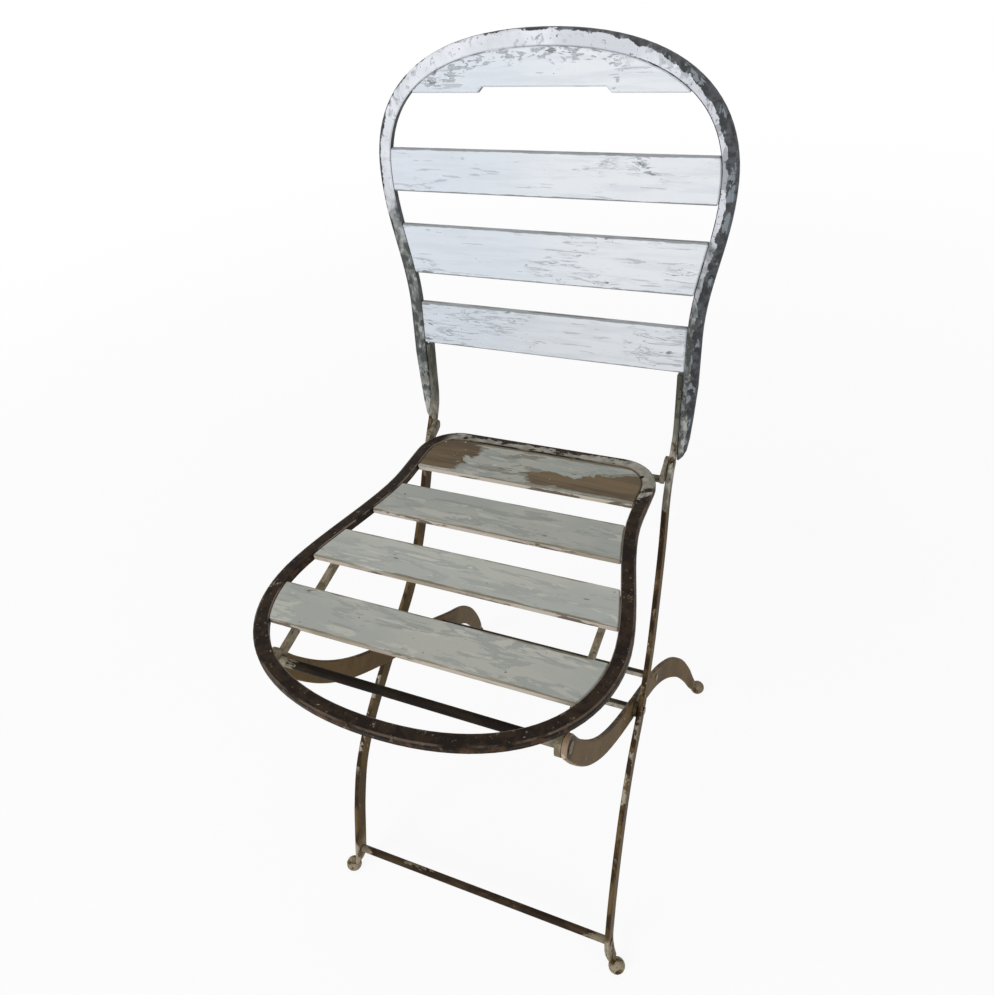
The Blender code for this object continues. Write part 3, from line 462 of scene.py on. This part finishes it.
def seat_hoop():
    """Near-black worn iron with a faint painted highlight along its rounded top edge, its rear band still
    painted.
    """
    look = Look("seat_hoop_iron", 0.10)
    facing = look.facing(SEAT_UP)
    place = look.along(SEAT_POINT, SEAT_FORWARD)
    sideways = look.place(RIGHT)
    mottle = look.noise(85, EVEN, 3, 6, 0.62, 0.5)
    iron = look.mix(look.ramp(mottle, 0.40, 0.60), tone(22, 14, 8), tone(44, 33, 22))
    specks = look.ramp(look.noise(230, EVEN, 7, 3, 0.6), 0.635, 0.665)
    iron = look.mix(specks, iron, tone(88, 76, 60))
    rust = look.ramp(look.noise(42, EVEN, 31, 5, 0.6, 0.6), 0.54, 0.62)
    iron = look.mix(look.both(rust, look.ramp(facing, 0.65, 0.15)), iron, tone(74, 52, 36))
    scars = look.ramp(look.noise(120, EVEN, 35, 5, 0.6, 0.5), 0.685, 0.70)
    iron = look.mix(scars, iron, tone(128, 118, 102))
    # Painted highlight: a light band on the rounded outer top edge, broken up by noise
    ridge_highlight = look.both(look.ramp(facing, 0.50, 0.72), look.ramp(facing, 0.96, 0.84))
    ridge_highlight = look.both(ridge_highlight, look.ramp(look.noise(20, EVEN, 13, 4), 0.42, 0.55))
    iron = look.mix(look.times(ridge_highlight, 0.7), iron, tone(132, 118, 104))
    ragged = look.swing(55, EVEN, 17, 6, 0.62, 0.6)
    rear = look.ramp(look.add(place, ragged, 0.10), 0.040, 0.034)
    outer = look.math("MAXIMUM", place, look.minus(look.size(sideways), 0.1255))
    kept = look.ramp(look.add(outer, ragged, 0.022), 0.0050, 0.0062)
    corner = look.ramp(look.add(place, ragged, 0.10), 0.052, 0.046)
    corner = look.both(look.ramp(sideways, 0.092, 0.104), corner)
    on_top = look.ramp(facing, 0.80, 0.92)
    flakes = look.ramp(look.noise(75, (0.6, 1, 1), 23, 6, 0.62, 0.6), 0.58, 0.56)
    painted = look.either(look.both(rear, kept, flakes), look.both(corner, on_top))
    painted = look.both(painted, on_top, look.ramp(sideways, -0.118, -0.104))
    paint = look.mix(look.ramp(mottle, 0.40, 0.60), tone(128, 124, 113), tone(158, 155, 145))
    hole = look.ramp(look.near(SEAT_HOLE, (1, 1, 0)), 0.0026, 0.0019)
    colour = look.mix(hole, look.mix(painted, iron, paint), tone(24, 20, 17))
    bumps = look.add(look.times(painted, 0.5), look.add(mottle, hole, -2.0), 0.6)
    return look.finish(colour, (0.34, 0.60, mottle), bumps, 0.0004)


def front_leg():
    """Brown weathered iron: darker edges, light paint remains by the hinge, the crossing and the foot."""
    look = Look("front_leg_iron", 0.10)
    height = look.place(UP)
    outer = look.ramp(look.size(look.facing(RIGHT)), 0.6, 0.9)
    edge = look.inverse(outer)
    drawn = look.noise(34, (1, 1, 0.35), 4, 6, 0.62, 0.4)
    face = look.mix(look.ramp(drawn, 0.42, 0.60), tone(68, 51, 24), tone(90, 71, 38))
    rim = look.ramp(look.noise(46, (1, 1, 0.25), 8, 6, 0.62, 0.4), 0.44, 0.56)
    colour = look.mix(edge, face, look.mix(rim, tone(46, 32, 16), tone(98, 79, 50)))
    rubs = look.ramp(look.noise(95, (1, 1, 0.4), 12, 5), 0.62, 0.66)
    colour = look.mix(rubs, colour, tone(122, 108, 86))
    spread = look.noise(55, (1, 1, 0.4), 16, 6, 0.64, 0.5)
    over_hinge = look.ramp(look.add(height, spread, 0.10), 0.474, 0.492)
    under_rail = look.ramp(look.add(height, spread, 0.04), 0.520, 0.512)
    kept = look.both(over_hinge, under_rail, look.ramp(spread, 0.42, 0.47))
    light = look.ramp(look.noise(130, (1, 1, 0.5), 20, 5), 0.42, 0.60)
    colour = look.mix(kept, colour, look.mix(light, tone(120, 116, 104), tone(166, 162, 150)))
    rail = look.mix(look.ramp(spread, 0.44, 0.56), tone(72, 72, 62), tone(104, 104, 94))
    colour = look.mix(look.ramp(look.add(height, spread, 0.06), 0.512, 0.528), colour, rail)
    worn_foot = look.ramp(look.noise(75, (1, 1, 0.6), 24, 5, 0.6, 0.5), 0.38, 0.48)
    worn_foot = look.both(look.ramp(height, 0.062, 0.035), worn_foot)
    colour = look.mix(worn_foot, colour, tone(148, 136, 114))
    by_crossing = look.both(look.ramp(height, 0.145, 0.165), look.ramp(height, 0.275, 0.250))
    by_foot = look.both(look.ramp(height, 0.020, 0.030), look.ramp(height, 0.062, 0.050))
    flecks = look.ramp(look.noise(70, (1, 1, 0.16), 28, 5, 0.62, 0.5), 0.50, 0.53)
    flecks = look.both(flecks, look.either(by_crossing, by_foot), edge)
    colour = look.mix(look.times(flecks, 0.85), colour, tone(164, 155, 138))
    dots = look.ramp(look.noise(120, (1, 1, 0.4), 30, 5), 0.685, 0.70)
    dots = look.both(dots, look.ramp(height, 0.14, 0.20), look.ramp(look.place(RIGHT), 0.0, 0.05))
    colour = look.mix(dots, colour, tone(198, 192, 178))
    for point in LEG_HOLES:
        hole = look.ramp(look.near(point, FROM_THE_SIDE), 0.0024, 0.0016)
        colour = look.mix(look.both(hole, outer), colour, tone(34, 28, 23))
    pits = look.ramp(look.noise(280, EVEN, 32, 3), 0.65, 0.69)
    colour = look.mix(pits, colour, tone(44, 35, 26))
    return look.finish(colour, (0.45, 0.70, drawn), look.add(drawn, pits, -0.6), 0.0004)


def rear_leg():
    """Olive-brown forged plate, even on its face, with rubbed edges and a pinkish front end."""
    look = Look("rear_leg_iron", 0.10)
    flat = look.ramp(look.size(look.facing(RIGHT)), 0.60, 0.90)
    swing = look.swing(20, EVEN, 6, 5, 0.58, 0.4)
    cloudy = look.add(swing, 0.5)
    face = look.mix(look.ramp(cloudy, 0.38, 0.62), tone(86, 67, 38), tone(102, 82, 51))
    stains = look.ramp(look.noise(60, EVEN, 10, 6, 0.62, 0.5), 0.61, 0.65)
    face = look.mix(look.times(stains, 0.6), face, tone(74, 60, 43))
    by_head = look.ramp(look.add(look.near(REAR_HEAD, FROM_THE_SIDE), swing, 0.03), 0.022, 0.009)
    face = look.mix(look.times(by_head, 0.75), face, tone(48, 38, 28))
    under_hump = look.ramp(look.near(REAR_HUMP, FROM_THE_SIDE), 0.034, 0.014)
    under_hump = look.both(under_hump, look.ramp(cloudy, 0.45, 0.50))
    face = look.mix(look.times(under_hump, 0.55), face, tone(62, 48, 34))
    edge = look.mix(look.ramp(cloudy, 0.42, 0.58), tone(78, 61, 37), tone(110, 91, 64))
    dark_top = look.ramp(look.noise(48, EVEN, 12, 5), 0.44, 0.52)
    dark_top = look.both(look.ramp(look.facing(UP), 0.2, 0.6), dark_top)
    edge = look.mix(dark_top, edge, tone(56, 44, 32))
    tip = look.ramp(look.add(look.place(REARWARD), cloudy, 0.05), -0.135, -0.155)
    edge = look.mix(tip, edge, tone(150, 128, 108))
    bright = look.ramp(look.noise(120, EVEN, 15, 5), 0.52, 0.56)
    edge = look.mix(look.both(tip, bright), edge, tone(180, 166, 140))
    edge = look.mix(look.ramp(look.noise(90, EVEN, 14, 5), 0.60, 0.65), edge, tone(58, 46, 34))
    colour = look.mix(flat, edge, face)
    paint = look.ramp(look.noise(64, EVEN, 18, 6, 0.64, 0.6), 0.69, 0.705)
    colour = look.mix(paint, colour, tone(146, 138, 118))
    foot = look.ramp(look.add(look.near(REAR_FOOT, FROM_THE_SIDE), cloudy, 0.02), 0.034, 0.022)
    foot = look.both(foot, look.ramp(look.noise(90, EVEN, 22, 4), 0.42, 0.54))
    colour = look.mix(foot, colour, tone(124, 112, 94))
    pits = look.ramp(look.noise(260, EVEN, 26, 3), 0.67, 0.70)
    colour = look.mix(pits, colour, tone(56, 44, 32))
    return look.finish(colour, (0.50, 0.70, cloudy), look.add(cloudy, pits, -0.5), 0.0004)


def rod(name, seed, base, worn, paint, ends, spots, on_front=False):
    """A round iron rod: paint is left at its ends, in scattered spots and, on some, along its front."""
    look = Look(name, 0.10)
    mottle = look.noise(70, (0.4, 1, 1), seed, 6, 0.62, 0.4)
    colour = look.mix(look.ramp(mottle, 0.42, 0.60), tone(*base), tone(*worn))
    patch = look.noise(48, (0.35, 1, 1), seed + 5, 6, 0.64, 0.6)
    reach = look.add(look.size(look.place(RIGHT)), look.minus(patch, 0.5), 0.14)
    painted = look.either(look.ramp(reach, ends, ends + 0.005), look.ramp(patch, spots, spots + 0.02))
    if on_front:
        facing = look.facing((0.0, -0.87, 0.5))
        facing = look.add(facing, look.swing(60, (0.25, 1, 1), seed + 7, 6), 2.2)
        painted = look.either(painted, look.ramp(facing, 0.34, 0.42))
        painted = look.both(painted, look.ramp(look.facing((0.0, 0.10, 0.99)), 0.86, 0.74))
    darker = tone(*[value * 0.82 for value in paint])
    light = look.mix(look.ramp(look.noise(120, EVEN, seed + 9, 4), 0.40, 0.60), tone(*paint), darker)
    colour = look.mix(painted, colour, light)
    pits = look.ramp(look.noise(240, EVEN, seed + 14, 3), 0.65, 0.69)
    colour = look.mix(pits, colour, tone(34, 27, 22))
    return look.finish(colour, (0.58, 0.75, painted), look.add(mottle, painted, 0.5), 0.0004)


def fitting(name, seed, dark, light):
    """Small dull irons, mottled between two colours, with dark pits."""
    look = Look(name, 0.10)
    mottle = look.noise(95, EVEN, seed, 6, 0.62, 0.4)
    colour = look.mix(look.ramp(mottle, 0.40, 0.60), tone(*dark), tone(*light))
    pits = look.ramp(look.noise(260, EVEN, seed + 4, 3), 0.64, 0.68)
    colour = look.mix(pits, colour, tone(44, 36, 28))
    return look.finish(colour, (0.48, 0.74, mottle), look.add(mottle, pits, -0.5), 0.0004)


def dress(material, *nodes):
    for node in nodes:
        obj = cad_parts[node]
        if not obj.material_slots:
            obj.data.materials.append(material)
        for slot in obj.material_slots:
            slot.material = material


def dress_back():
    dress(back_hoop(), "back_hoop")
    crest_spots = (
        ((0.0699, 0.2309, 0.8194), 0.0068, (1.5, 0.8, 0.8), (136, 142, 147)),
        ((-0.0330, 0.2340, 0.8360), 0.0046, (0.6, 1.4, 1.4), (120, 126, 131)),
    )
    dress(back_slat("crest_paint", 1.0, 2, spots=crest_spots), "crest_slat")
    upper_spots = (
        ((0.0932, 0.2183, 0.7517), 0.0062, (0.6, 1.1, 1.1), (112, 118, 123)),
        ((0.0880, 0.2195, 0.7600), 0.0050, (1.0, 0.7, 0.7), (112, 118, 123)),
    )
    rows = (
        ("upper", 11.0, 2, 0.10, upper_spots),
        ("middle", 23.0, 2, 0.10, ()),
        ("lower", 37.0, 7, 0.15, ()),
    )
    for row, seed, shade, dense, spots in rows:
        material = back_slat(f"{row}_slat_paint", seed, shade, BACK_SLAT_EDGES[row], dense, spots)
        dress(material, f"back_slat_{row}")


def dress_seat():
    dress(seat_hoop(), "seat_hoop")
    rows = (("rear", 2.0, 6), ("second", 13.0, 3), ("third", 29.0, -12), ("front", 41.0, -4))
    for number, edges, (row, seed, shade) in zip(SEAT_ROWS, SEAT_SLAT_EDGES, rows):
        material = seat_slat(f"seat_paint_{row}", edges, seed, shade, row == "rear")
        dress(material, f"seat_slat_{number}")


def dress_irons():
    dress(front_leg(), "front_leg_left", "front_leg_right")
    dress(rear_leg(), "rear_leg_left", "rear_leg_right")
    dull = fitting("fitting_iron", 5, (70, 60, 46), (104, 93, 74))
    pale = fitting("hinge_iron", 15, (88, 80, 66), (138, 130, 114))
    for side in SIDES:
        dress(pale, f"seat_hinge_arm_{side}", f"seat_hinge_rivet_{side}")
        dress(dull, f"pivot_washer_{side}", f"hook_bracket_{side}", f"hook_rivet_{side}")
        dress(fitting(f"hook_iron_{side}", 25, (112, 101, 80), (150, 140, 118)), f"seat_hook_{side}")
    dress(dull, *back_tabs, *seat_tabs)
    front_rod = rod("front_rod_iron", 3, (22, 15, 9), (38, 29, 19), (146, 138, 120), 0.122, 0.70)
    axle = rod("axle_iron", 13, (42, 36, 26), (66, 56, 40), (176, 168, 154), 0.122, 0.50, True)
    stretcher = rod("stretcher_iron", 23, (40, 31, 20), (68, 55, 37), (182, 174, 160), 0.124, 0.56, True)
    foot_rod = rod("foot_rod_iron", 33, (38, 27, 17), (64, 50, 34), (136, 124, 104), 0.134, 0.63)
    dress(front_rod, "front_rod")
    dress(axle, "pivot_axle")
    dress(stretcher, "rear_stretcher_rod")
    dress(foot_rod, "front_foot_rod")


def domes(name, rows, body, material):
    """Low rivet heads, each given as (centre, the way it stands out)."""
    bm = bmesh.new()
    levels = [(RIVET_RADIUS, -DOME_SUNK)]
    levels += [(RIVET_RADIUS * share, RIVET_HEIGHT * lift) for share, lift in DOME_RINGS]
    for centre, out in rows:
        turn = out.to_track_quat("Z", "Y").to_matrix().to_4x4()
        place = Matrix.Translation(centre) @ turn
        rings = []
        for radius, level in levels:
            ring = []
            for k in range(DOME_STEPS):
                angle = 2 * pi * k / DOME_STEPS
                point = Vector((radius * cos(angle), radius * sin(angle), level))
                ring.append(bm.verts.new(place @ point))
            rings.append(ring)
        top = bm.verts.new(place @ Vector((0.0, 0.0, RIVET_HEIGHT)))
        for a, b in zip(rings, rings[1:]):
            for k in range(DOME_STEPS):
                after = (k + 1) % DOME_STEPS
                bm.faces.new((a[k], a[after], b[after], b[k]))
        for k in range(DOME_STEPS):
            bm.faces.new((rings[-1][k], rings[-1][(k + 1) % DOME_STEPS], top))
        bm.faces.new(list(reversed(rings[0])))
    mesh = bpy.data.meshes.new(name)
    bm.to_mesh(mesh)
    bm.free()
    mesh.shade_smooth()
    obj = bpy.data.objects.new(name, mesh)
    bpy.context.scene.collection.objects.link(obj)
    obj.data.materials.append(material)
    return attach(obj, body)


def tab_rivets(name, nodes, out, body):
    """Two rivet heads on each tab, on the side away from the slats."""
    rows = []
    for node in nodes:
        low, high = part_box(node)
        middle = (low + high) / 2
        reach = max(vertex.co.dot(out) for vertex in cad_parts[node].data.vertices)
        face = middle + out * (reach - middle.dot(out))
        way = BACK_UP if node.startswith("crest") else RIGHT
        rows += [(face + way * step, out) for step in (-RIVET_HALF_SPACING, RIVET_HALF_SPACING)]
    iron = fitting(name + "_iron", 45, (64, 54, 44), (112, 102, 88))
    return domes(name, rows, body, iron)


def camera():
    """The photograph's camera."""
    data = bpy.data.cameras.new("camera")
    data.sensor_fit = "HORIZONTAL"
    data.sensor_width = SENSOR_WIDTH
    data.lens = SENSOR_WIDTH * FOCAL_PIXELS / FRAME_WIDTH
    out = cos(CAMERA_ELEVATION)
    ahead = -Vector((sin(CAMERA_AZIMUTH) * out, -cos(CAMERA_AZIMUTH) * out, sin(CAMERA_ELEVATION)))
    level = Vector((cos(CAMERA_AZIMUTH), sin(CAMERA_AZIMUTH), 0.0))
    down = ahead.cross(level)
    right = cos(CAMERA_ROLL) * level + sin(CAMERA_ROLL) * down
    below = -sin(CAMERA_ROLL) * level + cos(CAMERA_ROLL) * down
    turned = Matrix((right, -below, -ahead)).transposed().to_4x4()
    obj = bpy.data.objects.new("camera", data)
    obj.matrix_world = Matrix.Translation(CAMERA_PLACE) @ turned
    bpy.context.scene.collection.objects.link(obj)
    bpy.context.scene.camera = obj


def seen_or_mirrored(tree):
    """1 for what the camera sees straight, in a reflection or through glass."""
    path = tree.nodes.new("ShaderNodeLightPath")
    made = path.outputs["Is Camera Ray"]
    for way in ("Is Glossy Ray", "Is Transmission Ray"):
        node = tree.nodes.new("ShaderNodeMath")
        node.operation = "MAXIMUM"
        tree.links.new(made, node.inputs[0])
        tree.links.new(path.outputs[way], node.inputs[1])
        made = node.outputs[0]
    return made


def blend_into(tree, share, first, second, output):
    """Mixes two shaders by a share and gives them to the tree's output."""
    blend = tree.nodes.new("ShaderNodeMixShader")
    tree.links.new(share, blend.inputs["Fac"])
    tree.links.new(first.outputs[0], blend.inputs[1])
    tree.links.new(second.outputs[0], blend.inputs[2])
    tree.links.new(blend.outputs[0], tree.nodes[output].inputs["Surface"])


def floor():
    """A plain white floor that keeps a faint shadow of the chair."""
    bm = bmesh.new()
    bmesh.ops.create_grid(bm, x_segments=8, y_segments=8, size=FLOOR_SIZE)
    mesh = bpy.data.meshes.new("floor")
    bm.to_mesh(mesh)
    bm.free()
    obj = bpy.data.objects.new("floor", mesh)
    bpy.context.scene.collection.objects.link(obj)
    material = bpy.data.materials.new("white_floor")
    material.use_nodes = True
    tree = material.node_tree
    shader = tree.nodes["Principled BSDF"]
    shader.inputs["Base Color"].default_value = (0.80, 0.80, 0.80, 1.0)
    shader.inputs["Roughness"].default_value = 0.9
    glow = tree.nodes.new("ShaderNodeEmission")
    glow.inputs["Color"].default_value = WHITE
    place = tree.nodes.new("ShaderNodeTexCoord")
    away = tree.nodes.new("ShaderNodeVectorMath")
    away.operation = "LENGTH"
    tree.links.new(place.outputs["Object"], away.inputs[0])
    fade = tree.nodes.new("ShaderNodeMapRange")
    tree.links.new(away.outputs["Value"], fade.inputs["Value"])
    for socket, value in zip(("From Min", "From Max", "To Min", "To Max"), FLOOR_GLOW):
        fade.inputs[socket].default_value = value
    share = tree.nodes.new("ShaderNodeMath")
    share.operation = "MULTIPLY"
    tree.links.new(seen_or_mirrored(tree), share.inputs[0])
    tree.links.new(fade.outputs["Result"], share.inputs[1])
    blend_into(tree, share.outputs[0], shader, glow, "Material Output")
    obj.data.materials.append(material)


def lamp(name, place, aim, size, power):
    data = bpy.data.lights.new(name, "AREA")
    data.shape = "DISK"
    data.size = size
    data.energy = power
    obj = bpy.data.objects.new(name, data)
    obj.location = place
    obj.rotation_euler = (Vector(aim) - Vector(place)).to_track_quat("-Z", "Y").to_euler()
    bpy.context.scene.collection.objects.link(obj)


def light():
    """Soft light from three lamps and the world, which is plain white for the camera."""
    world = bpy.data.worlds.new("studio")
    bpy.context.scene.world = world
    world.use_nodes = True
    tree = world.node_tree
    soft = tree.nodes["Background"]
    soft.inputs["Color"].default_value = WHITE
    soft.inputs["Strength"].default_value = AMBIENT
    white = tree.nodes.new("ShaderNodeBackground")
    white.inputs["Color"].default_value = WHITE
    white.inputs["Strength"].default_value = 1.0
    blend_into(tree, seen_or_mirrored(tree), soft, white, "World Output")
    lamp("key", (-1.0, -2.3, 2.0), (0.0, 0.0, 0.5), 1.6, 46)
    lamp("fill", (2.2, -1.5, 1.5), (0.0, 0.0, 0.5), 1.8, 14)
    lamp("top", (0.2, 0.6, 3.0), (0.0, 0.1, 0.4), 1.8, 10)


back_tabs = [f"back_tab_{row}_{side}" for row in BACK_SLAT_EDGES for side in SIDES]
back_tabs += [f"crest_tab_{side}" for side in SIDES]
seat_tabs = [f"seat_tab_{number}_{side}" for number in SEAT_ROWS for side in SIDES]

dress_back()
dress_seat()
dress_irons()
tab_rivets("back_tab_rivets", back_tabs, -BACK_OUT, "frame")
tab_rivets("seat_tab_rivets", seat_tabs, -SEAT_UP, "seat")
camera()
floor()
light()
bpy.context.scene.view_settings.view_transform = "Standard"
